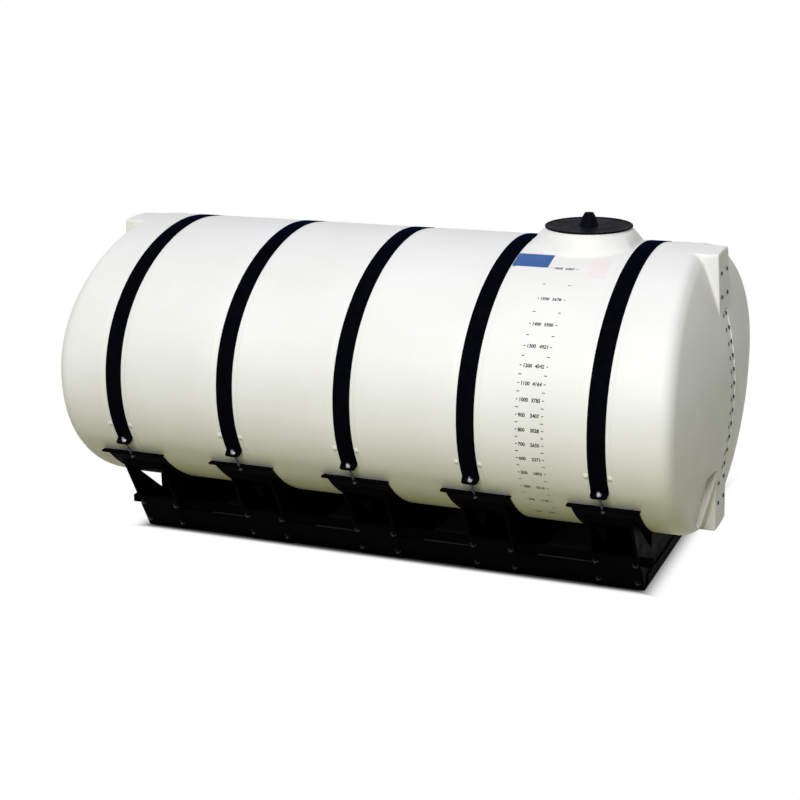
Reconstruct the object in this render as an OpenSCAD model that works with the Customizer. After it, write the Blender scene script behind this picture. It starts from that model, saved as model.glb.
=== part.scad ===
// Horizontal elliptical storage tank, banded down onto a welded steel cradle skid.
// X runs along the tank, towards the fill lid's end. Y runs across it. Z is up, and the ground is Z = 0.

/* [Tank] */
// Full width of the oval section
tank_width = 1776; // [1500:2:1900]
// Full height of the oval section
tank_height = 1370; // [1200:2:1500]
// Length between the creases where the barrel meets the two ends
crease_length = 3110; // [2900:2:3200]
// How far the rounding of each crease runs along the barrel
crease_round = 66; // [20:2:90]
// How far each end bulges past its crease
dome_rise = 97; // [60:1:160]
// Length of the straight part of each end, before the rounding
end_straight = 100; // [20:5:150]
// How far the top of each end leans back towards the tank's middle
end_lean = 60; // [0:1:90]
// Height of the tank's middle above the ground
axis_height = 894; // [860:1:960]
// Thickness of the moulded wall
wall = 9.5; // [6:0.5:14]

/* [End keels] */
// Width of the flat keel at the top and bottom of each end
keel_width = 220; // [120:2:300]
// How far the lower keel stands past the crease at its outer corner; the upper one leans back from that
keel_reach = 56; // [40:1:100]
// How far the keel stands past the crease at its inner end
keel_inner_reach = 52; // [30:1:90]
// Height above the tank's middle where a keel runs out into the dome
keel_inner_height = 405; // [350:5:500]

/* [Fill opening and lid] */
// Distance of the lid from the middle of the tank
lid_x = 930; // [700:5:1100]
// Radius of the hole through the neck
neck_radius = 190; // [120:1:200]
// Radius of the collar under the lid
collar_top_radius = 208; // [150:1:215]
// Radius of the collar where it meets the tank
collar_foot_radius = 272; // [240:1:300]
// Height of the lid's seat above the tank's middle
lid_seat = 759; // [720:1:780]
// Radius of the lid
lid_radius = 211; // [170:1:240]
// Thickness of the lid's edge
lid_edge = 8; // [6:1:40]
// Height of the vent cap above the lid
vent_height = 59; // [40:1:90]

/* [Bands] */
// Distance from one band, and saddle, to the next
band_pitch = 615; // [560:1:640]
// Width of a band
band_width = 86; // [50:1:120]
// Thickness of a band
band_thickness = 3; // [2:0.5:6]
// Depth of a band's ends below the tank's middle
band_end_drop = 292; // [240:1:340]
// Radius of the threaded tie rods
rod_radius = 6; // [4:0.5:8]

/* [Saddles] */
// Width of a saddle pad along the tank
pad_width = 322; // [260:2:340]
// Length of a saddle's bolting flange along the tank
flange_length = 344; // [300:2:360]
// Depth of the bolting flange's top below the tank's middle
flange_drop = 377; // [350:1:420]
// Outer edge of the bolting flange, from the middle
flange_reach = 786; // [770:1:800]
// Thickness of the saddle plates
plate = 5; // [3:0.5:8]
// Width of a saddle frame along the tank
frame_width = 232; // [180:2:280]

/* [Skid] */
// Length of the skid's rails
rail_length = 2706; // [2700:2:2800]
// Half the width of the skid on the ground
foot_half_width = 445; // [400:1:500]
// How far a saddle's sides lean out for each millimetre of height
side_lean = 0.5245; // [0.45:0.01:0.56]
// Height of the side rails
rail_height = 140; // [100:1:140]
// Side of the square stringer tubes
stringer_size = 37; // [30:1:40]
// Length of the stringer tubes
stringer_length = 2808; // [2780:2:2850]

/* [Hidden] */
section_points = 96;
across_power = 1.88;
upright_power = 2.085;
tiny = 0.5;
weld = 0.01;
beyond = 200;
band_count = 5;
band_places = [for (i = [0:band_count - 1]) (i - (band_count - 1) / 2) * band_pitch];
half_w = tank_width / 2;
half_h = tank_height / 2;
crease = crease_length / 2;
round_start = crease - crease_round;
barrel_end = round_start - end_straight;
collar_low = 560;
band_clearance = 2;
dome_power = 1.8;
keel_drop = 7;
keel_slope = 2;
rim_fraction = 0.92;
rim_steps = 6;
pad_gap = 1;
pad_outer = pad_gap + plate;
stringer_z = 143;
stringer_y = 463;
lip_width = 60;
rail_gap = 1;
floor_half = foot_half_width - lip_width - 2 * plate - rail_gap;
window_low = 200;
window_high = 402;
window_width = 204;
rod_top_inset = 59;
rod_foot_inset = 117;
rod_top = [half_w - rod_top_inset, axis_height - band_end_drop];
rod_foot = [half_w - rod_foot_inset, axis_height - flange_drop];
rod_run = rod_top - rod_foot;
rod_tilt = atan2(rod_run[0], rod_run[1]);
rod_gap = 2;
rod_below = 28;
rod_above = 22;
tab_length = 40;
tab_reach = 24;
tab_thickness = 4;
tab_seat = norm(rod_run) - tab_thickness;
nut_height = 10;
nut_radius = 10;
washer_radius = 12;
washer_thickness = 3;
frame_top = 455;

// ---- Shared functions and shapes ----

function signed_power(v, p) = sign(v) * pow(abs(v), p);

// Point of the oval section at an angle, with the section grown by some amount; [across, up] about the middle
function oval_point(angle, grow = 0) = [
    (half_w + grow) * signed_power(cos(angle), 2 / across_power),
    (half_h + grow) * signed_power(sin(angle), 2 / upright_power)
];

// Angle at which the oval passes a height below the middle, on the +Y side
function oval_angle(drop) = -asin(pow(drop / half_h, upright_power / 2));

function oval(grow = 0, size = 1) =
    [for (i = [0:section_points - 1]) size * oval_point(360 * i / section_points, grow)];

// Outline of a strip of the oval between two angles and two offsets
function oval_strip(from, to, inner, outer, steps) = concat(
    [for (i = [0:steps]) oval_point(from + (to - from) * i / steps, outer)],
    [for (i = [steps:-1:0]) oval_point(from + (to - from) * i / steps, inner)]
);

// Extrudes an outline drawn in [Y, Z] along X
module along_x(from, to) {
    translate([from, 0, 0]) rotate([90, 0, 90]) linear_extrude(to - from) children();
}

module at_axis() {
    translate([0, 0, axis_height]) children();
}

module both_sides() {
    children();
    mirror([0, 1, 0]) children();
}

// ---- Tank ----

// A solid that fills the barrel's section
module barrel_solid(grow, from, to) {
    at_axis() along_x(from, to) polygon(oval(grow));
}

// Plug with the outline of the collar's foot, flattened where the last band passes it
module collar_plug(low, high) {
    band_side = band_places[band_count - 1] - band_width / 2 - band_clearance;
    translate([0, 0, axis_height + low]) intersection() {
        translate([lid_x, 0, 0]) cylinder(r = collar_foot_radius, h = high - low, $fn = 96);
        translate([lid_x - collar_foot_radius, -collar_foot_radius, 0])
            cube([band_side - lid_x + collar_foot_radius, 2 * collar_foot_radius, high - low]);
    }
}

module tank_barrel() {
    color("ivory") difference() {
        barrel_solid(0, weld - barrel_end, barrel_end - weld);
        barrel_solid(-wall, -barrel_end, barrel_end);
        collar_plug(collar_low, half_h + 1);
    }
}

// Bulge of the dome past the crease where the section has shrunk to a fraction of its size
function dome_bulge(fraction) = dome_rise * (1 - pow(fraction, dome_power));

// How far an end is set back at a place along X and a height above the tank's middle
function lean_back(x, height) = end_lean * pow(max(0, height / half_h), 2)
    * max(0, min(1, (x - barrel_end) / (crease - barrel_end)));

// Point at t from 0 to 1 on a curve that leaves a towards b and arrives at c
function bend(a, b, c, t) = (1 - t) * (1 - t) * a + 2 * t * (1 - t) * b + t * t * c;

// Profile of the +X end as [place along X, fraction of the section]
function end_profile() = concat(
    [for (i = [0:rim_steps]) bend(
        [round_start, 1], [crease, 1], [crease + dome_bulge(rim_fraction), rim_fraction], i / rim_steps)],
    [for (f = [0.84, 0.74, 0.62, 0.48, 0.32, 0.16]) [crease + dome_bulge(f), f]]
);

// Closed solid of the +X end, set in by some amount from its true outside
module dome_solid(inset, start) {
    profile = end_profile();
    rings = concat([[start, 1]], [for (p = profile) [p[0] - inset, p[1]]]);
    n = section_points;
    last = len(rings) - 1;
    points = concat(
        [for (ring = rings) for (p = oval(-inset, ring[1]))
            [ring[0] - lean_back(ring[0], p[1]), p[0], p[1]]],
        [[crease + dome_rise - inset, 0, 0]]
    );
    faces = concat(
        [[for (i = [n - 1:-1:0]) n - 1 - i]],
        [for (r = [0:last - 1]) for (i = [0:n - 1]) let (j = (i + 1) % n)
            each [[r * n + i, (r + 1) * n + i, (r + 1) * n + j], [r * n + i, (r + 1) * n + j, r * n + j]]],
        [for (i = [0:n - 1]) [last * n + i, len(points) - 1, last * n + (i + 1) % n]]
    );
    at_axis() polyhedron(points, faces);
}

// Upper and lower keels of the +X end, shrunk by some amount for the hollow inside.
// The upper one leans back half as far as the skin beside it.
module keels(shrink, start) {
    half = keel_width / 2 - shrink;
    low = keel_inner_height;
    top = half_h - keel_drop - shrink;
    corner = top - keel_slope;
    at_axis() for (side = [1, -1]) translate([0, half, 0]) rotate([90, 0, 0]) linear_extrude(2 * half)
        polygon([
            [start, side * top],
            [crease + keel_reach - shrink - lean_back(crease, side * corner) / 2, side * corner],
            [crease + keel_inner_reach - shrink - lean_back(crease, side * low) / 2, side * low],
            [start, side * low]
        ]);
}

module tank_end() {
    color("ivory") difference() {
        union() {
            dome_solid(0, barrel_end - weld);
            intersection() {
                keels(0, barrel_end);
                barrel_solid(0, barrel_end, crease + beyond);
            }
        }
        dome_solid(wall, barrel_end - wall - 1);
        intersection() {
            keels(wall, barrel_end - 1);
            barrel_solid(-wall, barrel_end - 1, crease + beyond);
        }
    }
}

module tank_end_right() {
    tank_end();
}

module tank_end_left() {
    mirror([1, 0, 0]) tank_end();
}

// Flared neck of the fill opening, with the piece of wall that it grows out of
module fill_collar() {
    outline = [
        [0, collar_low + 1],
        [collar_foot_radius + 1, collar_low + 1],
        [collar_foot_radius + 1, half_h - 40],
        [collar_foot_radius - 4, half_h - 16],
        [collar_foot_radius - 12, half_h - 5],
        [collar_foot_radius - 20, half_h + 1],
        [collar_top_radius + 29, half_h + 22],
        [collar_top_radius + 14, half_h + 43],
        [collar_top_radius + 4, half_h + 57],
        [collar_top_radius, half_h + 66],
        [collar_top_radius, lid_seat],
        [0, lid_seat]
    ];
    color("ivory") intersection() {
        difference() {
            union() {
                translate([lid_x, 0, axis_height]) rotate_extrude($fn = 96) polygon(outline);
                barrel_solid(0, lid_x - 2 * collar_foot_radius, lid_x + 2 * collar_foot_radius);
            }
            barrel_solid(-wall, lid_x - 3 * collar_foot_radius, lid_x + 3 * collar_foot_radius);
            translate([lid_x, 0, axis_height]) cylinder(r = neck_radius, h = lid_seat + 1, $fn = 96);
        }
        collar_plug(collar_low, lid_seat + 1);
    }
}

// Thin disc that covers the neck, with a short skirt inside it
module lid() {
    seat = lid_seat + tiny;
    plug = neck_radius - 8;
    skirt = 6;
    skirt_depth = 24;
    hollow = 2;
    bevel = 2;
    outline = [
        [0, seat + hollow],
        [plug - skirt, seat + hollow],
        [plug - skirt, seat - skirt_depth],
        [plug, seat - skirt_depth],
        [plug, seat],
        [lid_radius - bevel, seat],
        [lid_radius, seat + bevel],
        [lid_radius, seat + lid_edge - bevel],
        [lid_radius - bevel, seat + lid_edge],
        [0, seat + lid_edge]
    ];
    color([0.08, 0.08, 0.09])
        translate([lid_x, 0, axis_height]) rotate_extrude($fn = 96) polygon(outline);
}

// Blunt cone over the vent hole in the middle of the lid
module lid_vent() {
    base = lid_seat + tiny + lid_edge;
    foot = 48;
    waist = 37;
    cap = 24;
    outline = [
        [0, base],
        [foot, base],
        [foot - 3, base + 0.12 * vent_height],
        [waist, base + 0.55 * vent_height],
        [cap, base + 0.9 * vent_height],
        [cap - 5, base + vent_height],
        [0, base + vent_height]
    ];
    color([0.08, 0.08, 0.09])
        translate([lid_x, 0, axis_height]) rotate_extrude($fn = 48) polygon(outline);
}

// ---- Bands and tie rods ----

// Places a shape along the +Y tie rod: its Z axis becomes the rod's, with 0 at the saddle flange
module on_rod() {
    translate([0, rod_foot[0], rod_foot[1]]) rotate([-rod_tilt, 0, 0]) children();
}

// One band with an out-turned tab, bored for the rod, at each end
module band(x) {
    end = oval_angle(band_end_drop);
    color([0.07, 0.07, 0.08]) translate([x, 0, 0]) difference() {
        union() {
            at_axis() along_x(-band_width / 2, band_width / 2)
                polygon(oval_strip(end, 180 - end, tiny, tiny + band_thickness, 96));
            both_sides() on_rod() translate([-band_width / 2, tab_reach - tab_length, tab_seat])
                cube([band_width, tab_length, tab_thickness]);
        }
        barrel_solid(tiny, -band_width, band_width);
        both_sides() on_rod() translate([0, 0, tab_seat - tab_length / 2])
            cylinder(r = rod_radius + rod_gap, h = tab_length, $fn = 32);
    }
}

// Both tie rods of one band, with their nuts and washers
module tie_rods(x) {
    washer_seat = tab_seat + tab_thickness;
    nut_below = -plate / cos(rod_tilt) - nut_radius - nut_height;
    color([0.72, 0.73, 0.75]) translate([x, 0, 0]) both_sides() on_rod() {
        translate([0, 0, -rod_below])
            cylinder(r = rod_radius, h = washer_seat + rod_below + rod_above, $fn = 32);
        translate([0, 0, washer_seat]) cylinder(r = washer_radius, h = washer_thickness, $fn = 32);
        translate([0, 0, washer_seat + washer_thickness]) cylinder(r = nut_radius, h = nut_height, $fn = 6);
        translate([0, 0, nut_below]) cylinder(r = nut_radius, h = nut_height, $fn = 6);
    }
}

// ---- Saddles ----

// Curved pad under the belly, with a bolting flange turned out at each end
module saddle_pad(x) {
    end = oval_angle(flange_drop);
    corner = 18;
    root = oval_point(end, pad_gap)[0];
    reach = flange_reach - root;
    color([0.06, 0.06, 0.07]) translate([x, 0, 0]) difference() {
        union() {
            at_axis() along_x(-pad_width / 2, pad_width / 2)
                polygon(oval_strip(-180 - end, end, pad_gap, pad_outer, 48));
            both_sides() translate([0, root, axis_height - flange_drop - plate]) linear_extrude(plate) {
                translate([-flange_length / 2 + corner, 0]) square([flange_length - 2 * corner, reach]);
                translate([-flange_length / 2, 0]) square([flange_length, reach - corner]);
                for (side = [-1, 1])
                    translate([side * (flange_length / 2 - corner), reach - corner])
                        circle(r = corner, $fn = 32);
            }
        }
        barrel_solid(pad_gap, -pad_width, pad_width);
        both_sides() on_rod() translate([0, 0, -30])
            cylinder(r = rod_radius + rod_gap + 1, h = 60, $fn = 32);
    }
}

// Outer face of a saddle's side at a height, set in by some amount
function side_y(z, inset = 0) = foot_half_width + side_lean * z - inset;

// Half of the outline of a cradle web, on +Y, before the belly is cut out of it
function web_half(top) = [
    [0, plate],
    [side_y(plate, plate + rail_gap), plate],
    [side_y(top, plate + rail_gap), top],
    [0, top]
];

// Lightening hole on +Y, between the belly, an upright and a diagonal
web_hole = [[517, 330], [305, 243], [305, 165]];

// Section of the longitudinal rail and the stringer on +Y, grown for the cut-out in the webs
module rail_space() {
    gap = rail_gap;
    polygon([
        [side_y(0, 2 * plate + rail_gap + gap), -1],
        [side_y(0) + 20, -1],
        [side_y(rail_height + gap) + 20, rail_height + gap],
        [side_y(rail_height + gap, 2 * plate + rail_gap + gap), rail_height + gap]
    ]);
    translate([side_y(0) - lip_width - 2 * plate, -1]) square([lip_width + 2 * plate, plate + 1 + gap]);
    translate([stringer_y - gap, stringer_z - gap]) square(stringer_size + 2 * gap);
}

module cradle_web() {
    along_x(-plate / 2, plate / 2) difference() {
        union() {
            polygon(web_half(frame_top));
            mirror([1, 0]) polygon(web_half(frame_top));
        }
        translate([0, axis_height]) polygon(oval(pad_outer + tiny));
        for (side = [0, 1]) mirror([side, 0]) {
            polygon(web_hole);
            rail_space();
        }
    }
}

// Sloping outer plate on +Y, with a window above the stringer
module cradle_side() {
    difference() {
        along_x(-frame_width / 2, frame_width / 2) difference() {
            polygon([
                [side_y(0, plate), 0],
                [side_y(0), 0],
                [side_y(frame_top), frame_top],
                [side_y(frame_top, plate), frame_top]
            ]);
            translate([0, axis_height]) polygon(oval(pad_outer + tiny));
        }
        translate([-window_width / 2, 0, window_low])
            cube([window_width, half_w, window_high - window_low]);
    }
}

// The two upright plates of a saddle
module saddle_webs(x) {
    web_x = frame_width / 2 - plate / 2;
    color([0.06, 0.06, 0.07]) for (side = [-1, 1])
        translate([x + side * web_x, 0, 0]) cradle_web();
}

// The two sloping outer plates of a saddle
module saddle_sides(x) {
    color([0.06, 0.06, 0.07]) translate([x, 0, 0]) both_sides() cradle_side();
}

// Flat plate that joins a saddle's two webs on the ground
module saddle_foot(x) {
    color([0.06, 0.06, 0.07]) translate([x - frame_width / 2, -floor_half, 0])
        cube([frame_width, 2 * floor_half, plate]);
}

// ---- Skid ----

// Sloping side rail with an inward lip that rests on the ground
module rail() {
    set_in = plate + rail_gap;
    color([0.05, 0.05, 0.06]) along_x(-rail_length / 2, rail_length / 2) {
        polygon([
            [side_y(0, set_in + plate), 0],
            [side_y(0, set_in), 0],
            [side_y(rail_height, set_in), rail_height],
            [side_y(rail_height, set_in + plate), rail_height]
        ]);
        translate([side_y(0) - lip_width - plate, 0]) square([lip_width, plate]);
    }
}

module rail_far() {
    rail();
}

module rail_near() {
    mirror([0, 1, 0]) rail();
}

module stringer() {
    tube_wall = 4;
    color([0.05, 0.05, 0.06]) along_x(-stringer_length / 2, stringer_length / 2) difference() {
        translate([stringer_y, stringer_z]) square(stringer_size);
        translate([stringer_y + tube_wall, stringer_z + tube_wall]) square(stringer_size - 2 * tube_wall);
    }
}

module stringer_far() {
    stringer();
}

module stringer_near() {
    mirror([0, 1, 0]) stringer();
}

// Angle that ties the two rails together outside the last saddle
module end_beam() {
    beam_height = 58;
    color([0.05, 0.05, 0.06]) translate([rail_length / 2 - plate, -floor_half, 0])
        cube([plate, 2 * floor_half, beam_height]);
}

module end_beam_right() {
    end_beam();
}

module end_beam_left() {
    mirror([1, 0, 0]) end_beam();
}

tank_barrel();
tank_end_left();
tank_end_right();
fill_collar();
lid();
lid_vent();
for (i = [1:band_count]) {
    band(band_places[i - 1]);
    tie_rods(band_places[i - 1]);
    saddle_pad(band_places[i - 1]);
    saddle_webs(band_places[i - 1]);
    saddle_sides(band_places[i - 1]);
    saddle_foot(band_places[i - 1]);
}
rail_near();
rail_far();
stringer_near();
stringer_far();
end_beam_left();
end_beam_right();
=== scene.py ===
"""Looks of an elliptical storage tank on a steel cradle skid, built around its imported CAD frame.

Metres, in the row frame: X along the tank, -Y towards the camera's side, Z up, ground at Z = 0.
"""

import math
from itertools import product

import bmesh
import bpy
import numpy as np
from mathutils import Matrix, Vector


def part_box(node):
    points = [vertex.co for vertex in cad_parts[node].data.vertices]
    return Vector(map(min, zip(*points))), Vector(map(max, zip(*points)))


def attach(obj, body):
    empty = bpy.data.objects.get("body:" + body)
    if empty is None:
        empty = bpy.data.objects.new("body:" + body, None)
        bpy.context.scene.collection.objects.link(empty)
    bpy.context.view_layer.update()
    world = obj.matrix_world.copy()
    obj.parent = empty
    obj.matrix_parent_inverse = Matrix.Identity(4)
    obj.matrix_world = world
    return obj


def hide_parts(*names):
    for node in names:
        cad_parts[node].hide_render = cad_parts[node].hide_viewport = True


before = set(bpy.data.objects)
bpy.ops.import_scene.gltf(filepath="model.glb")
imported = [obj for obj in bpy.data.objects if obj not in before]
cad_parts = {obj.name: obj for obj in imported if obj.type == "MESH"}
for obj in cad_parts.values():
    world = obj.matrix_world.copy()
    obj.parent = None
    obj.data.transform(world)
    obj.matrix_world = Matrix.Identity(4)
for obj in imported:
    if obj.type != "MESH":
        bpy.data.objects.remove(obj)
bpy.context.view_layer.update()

MM = 0.001

# ---- Sizes taken from the frame ----

BAND_COUNT = 5
barrel_low, barrel_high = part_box("tank_barrel")
HALF_W = barrel_high.y
HALF_H = (barrel_high.z - barrel_low.z) / 2
AXIS_Z = (barrel_high.z + barrel_low.z) / 2
BARREL_END = barrel_high.x
DOME_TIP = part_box("tank_end_right")[1].x
BAND_X = [sum(corner.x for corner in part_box(f"band_{i}")) / 2 for i in range(1, BAND_COUNT + 1)]
BAND_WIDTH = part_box("band_1")[1].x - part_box("band_1")[0].x
lid_low, lid_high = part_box("lid")
LID_X = (lid_low.x + lid_high.x) / 2
LID_RADIUS = (lid_high.x - lid_low.x) / 2
LID_TOP = lid_high.z
NECK_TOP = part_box("fill_collar")[1].z
VENT_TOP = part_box("lid_vent")[1].z
FLANGE_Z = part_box("saddle_pad_1")[1].z
SKID_LENGTH_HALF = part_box("rail_near")[1].x

# ---- The oval section and the shape of the tank's ends ----

ACROSS_POWER = 1.88
UPRIGHT_POWER = 2.085
END_STRAIGHT = 100 * MM
CREASE_ROUND = 66 * MM
ROUND_START = BARREL_END + END_STRAIGHT
CREASE = ROUND_START + CREASE_ROUND
DOME_RISE = DOME_TIP - CREASE
DOME_POWER = 1.8
END_LEAN = 60 * MM
RIM_FRACTION = 0.92
LAND_HEIGHT = 3 * MM


def oval_point(angle, size=1.0):
    """Point (y, z about the axis) of the oval at an angle in radians, 0 at +Y."""
    c, s = np.cos(angle), np.sin(angle)
    y = HALF_W * np.sign(c) * np.abs(c) ** (2 / ACROSS_POWER)
    z = HALF_H * np.sign(s) * np.abs(s) ** (2 / UPRIGHT_POWER)
    return size * y, size * z


def oval_normal(y, z):
    """Unit outward normal of the oval through a point."""
    ny = np.sign(y) * np.abs(y / HALF_W) ** (ACROSS_POWER - 1) * ACROSS_POWER / HALF_W
    nz = np.sign(z) * np.abs(z / HALF_H) ** (UPRIGHT_POWER - 1) * UPRIGHT_POWER / HALF_H
    length = np.hypot(ny, nz)
    return ny / length, nz / length


def oval_height(y, size=1.0):
    """Height of the oval's upper half above the axis at a distance across."""
    inside = np.clip(1 - (np.abs(y) / (size * HALF_W)) ** ACROSS_POWER, 0, 1)
    return size * HALF_H * inside ** (1 / UPRIGHT_POWER)


def oval_fraction(y, z):
    """Size of the scaled oval that passes through each point."""
    largest = 1.2
    halvings = 26
    low, high = np.zeros(np.shape(y)), np.full(np.shape(y), largest)
    for _ in range(halvings):
        mid = (low + high) / 2
        outside = (np.abs(y) / (HALF_W * mid)) ** ACROSS_POWER + (
            np.abs(z) / (HALF_H * mid)
        ) ** UPRIGHT_POWER > 1
        low, high = np.where(outside, mid, low), np.where(outside, high, mid)
    return (low + high) / 2


def dome_x(size):
    """Place along X of the dome where the oval has shrunk to a fraction of its size."""
    return CREASE + DOME_RISE * (1 - size**DOME_POWER)


def lean_back(x, z):
    """How far an end is set back at a place along X and a height about the axis."""
    share = np.clip((np.abs(x) - BARREL_END) / (CREASE - BARREL_END), 0, 1)
    return END_LEAN * np.maximum(0, z / HALF_H) ** 2 * share


def smooth_step(value, low, high):
    """Smooth rise from 0 to 1 between two values."""
    t = np.clip((value - low) / (high - low), 0, 1)
    return t * t * (3 - 2 * t)


# ---- Small helpers for meshes ----


def mesh_object(name, points, faces, smooth=True):
    """New piece in the scene from points and faces."""
    mesh = bpy.data.meshes.new(name)
    mesh.from_pydata([tuple(p) for p in points], [], [tuple(f) for f in faces])
    mesh.update()
    mesh.polygons.foreach_set("use_smooth", [smooth] * len(mesh.polygons))
    piece = bpy.data.objects.new(name, mesh)
    bpy.context.scene.collection.objects.link(piece)
    return piece


def grid_faces(rows, columns, close_columns=False, start=0):
    """Quads of a grid of points stored row by row."""
    faces = []
    for r in range(rows - 1):
        for c in range(columns if close_columns else columns - 1):
            d = (c + 1) % columns
            faces.append(
                (start + r * columns + c, start + r * columns + d,
                 start + (r + 1) * columns + d, start + (r + 1) * columns + c)
            )
    return faces


def turned_faces(segments, columns):
    """Quads between profiles stored one after another round an axis."""
    faces = []
    for i in range(segments):
        j = (i + 1) % segments
        for k in range(columns - 1):
            faces.append((i * columns + k, j * columns + k, j * columns + k + 1, i * columns + k + 1))
    return faces


def finish_piece(piece, body, material):
    """Gives a piece its material and says which body it rides on."""
    piece.data.materials.append(material)
    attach(piece, body)
    return piece


# ---- Tank shell: barrel, domed ends and keels as one moulded skin ----

KEEL_HALF = 110 * MM
KEEL_TOP_Z = 676 * MM
KEEL_INNER_Z = 405 * MM
# How far a keel's face stands out past the crease, at its outer top and at its inner end
KEEL_REACH = 56 * MM
KEEL_INNER_REACH = 52 * MM
KEEL_BLEND = 3 * MM
EDGE_ROUND = 6 * MM
ROOT_ROUND = 10 * MM
DRAFT = 1 * MM
STRIP_HALF = 48 * MM
STRIP_END = 398 * MM
STRIP_DEPTH = 5 * MM
# Fraction of the section under which the columns over the keels draw together
STRAIGHT_FROM = 0.5
SIDE_COLUMNS = 91
RIM_RINGS = 14
DOME_RINGS = 44
SMALLEST_RING = 0.04
GROOVE_INNER = 57 * MM
GROOVE_OUTER = 73 * MM
LAND_FADE_LOW = -365 * MM
LAND_FADE_HIGH = -290 * MM
NECK_HOLE = 226 * MM


def keel_columns():
    """Places across of the columns over a keel's half, with how far each is rounded in or filled out."""
    plain = [0, 15, 30, 44, 60, 76, 90]
    columns = [(y * MM, "keel", 0.0) for y in plain]
    for degrees in (0, 30, 60, 90):
        turn = math.radians(degrees)
        y = KEEL_HALF - DRAFT - EDGE_ROUND * (1 - math.sin(turn))
        columns.append((y, "keel", EDGE_ROUND * (1 - math.cos(turn))))
    for degrees in (90, 60, 30, 0):
        turn = math.radians(degrees)
        y = KEEL_HALF + DRAFT + ROOT_ROUND * (1 - math.sin(turn))
        columns.append((y, "dome", ROOT_ROUND * (1 - math.cos(turn))))
    columns += [(y * MM, "dome", 0.0) for y in (132, 146, 162)]
    return columns


HALF_KEEL = keel_columns()
MID_COLUMNS = [(-y, kind, amount) for y, kind, amount in HALF_KEEL[:0:-1]] + HALF_KEEL
MID_Y = np.array([column[0] for column in MID_COLUMNS])
MID_IS_KEEL = np.array([column[1] == "keel" for column in MID_COLUMNS])
MID_ROUND = np.array([column[2] for column in MID_COLUMNS])


def loop_points(size):
    """Points (y, z) of one closed ring at a fraction of the section, from the top round by +Y."""
    shrink = min(1.0, size / STRAIGHT_FROM)
    y_mid = MID_Y * shrink
    z_mid = oval_height(y_mid, size)
    corner = math.acos((y_mid[-1] / (size * HALF_W)) ** (ACROSS_POWER / 2))
    angles = np.linspace(corner, -corner, SIDE_COLUMNS + 2)[1:-1]
    y_side, z_side = oval_point(angles, size)
    y = np.concatenate([y_mid, y_side, y_mid[::-1], -y_side[::-1]])
    z = np.concatenate([z_mid, z_side, -z_mid[::-1], z_side[::-1]])
    return y, z


def land_fade(z):
    """Share of the raised skin's height that is left: it fades out over the saddles."""
    return smooth_step(z, LAND_FADE_LOW, LAND_FADE_HIGH)


def land_height(x, z):
    """How far the skin stands out between the bands' grooves."""
    groove = max(1 - smooth_step(abs(x - band), GROOVE_INNER, GROOVE_OUTER) for band in BAND_X)
    return LAND_HEIGHT * (1 - groove) * land_fade(z)


def keel_face_x(z):
    """Place along X of a keel's outer face, before the end is leaned back; a keel leans half as far."""
    slope = (KEEL_REACH - KEEL_INNER_REACH) / (KEEL_TOP_Z - KEEL_INNER_Z)
    upright = CREASE + KEEL_INNER_REACH + (np.abs(z) - KEEL_INNER_Z) * slope
    return upright + lean_back(CREASE, z) / 2


def dome_rim(step):
    """Place and fraction on the rounded crease, from the barrel (0) to the dome (1)."""
    controls = ((ROUND_START, 1.0), (CREASE, 1.0), (dome_x(RIM_FRACTION), RIM_FRACTION))
    weights = ((1 - step) ** 2, 2 * step * (1 - step), step**2)
    return tuple(sum(w * control[k] for w, control in zip(weights, controls)) for k in (0, 1))


def keel_rim(step, y, half):
    """Point (x, z) on a keel's top and rounded outer corner, at the same step as dome_rim.

    Half is 1 for the upper keel and -1 for the lower one, whose z comes out as a depth.
    """
    corner = 8 * MM
    top_until = 0.55
    corner_until = 0.8
    top = oval_height(y)
    face = keel_face_x(half * top)
    low = oval_height(y, RIM_FRACTION)
    if step <= top_until:
        x = ROUND_START + (face - corner - ROUND_START) * step / top_until
        return x, top
    if step <= corner_until:
        turn = math.pi / 2 * (step - top_until) / (corner_until - top_until)
        return face - corner + corner * math.sin(turn), top - corner + corner * math.cos(turn)
    down = (step - corner_until) / (1 - corner_until)
    z = top - corner + (low - top + corner) * down
    return keel_face_x(half * z), z


def soft_max(a, b, softness):
    """Greater of two values, rounded where they are close."""
    gap = np.clip(0.5 + (a - b) / (2 * softness), 0, 1)
    return a * gap + b * (1 - gap) + softness * gap * (1 - gap)


def with_keel(x_dome, z_dome, x_keel, z_keel):
    """Points of the middle columns: keel and dome, joined by a rounded edge and a filled-out root."""
    gap = np.hypot(x_keel - x_dome, z_keel - z_dome)
    safe = np.maximum(gap, 1e-9)
    to_dome = ((x_dome - x_keel) / safe, (z_dome - z_keel) / safe)
    nominal = np.where(MID_IS_KEEL, EDGE_ROUND, ROOT_ROUND)
    widest_share = 0.45
    shift = MID_ROUND * np.minimum(1, widest_share * gap / nominal)
    x = np.where(MID_IS_KEEL, x_keel + to_dome[0] * shift, x_dome - to_dome[0] * shift)
    z = np.where(MID_IS_KEEL, z_keel + to_dome[1] * shift, z_dome - to_dome[1] * shift)
    return x, z


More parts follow.
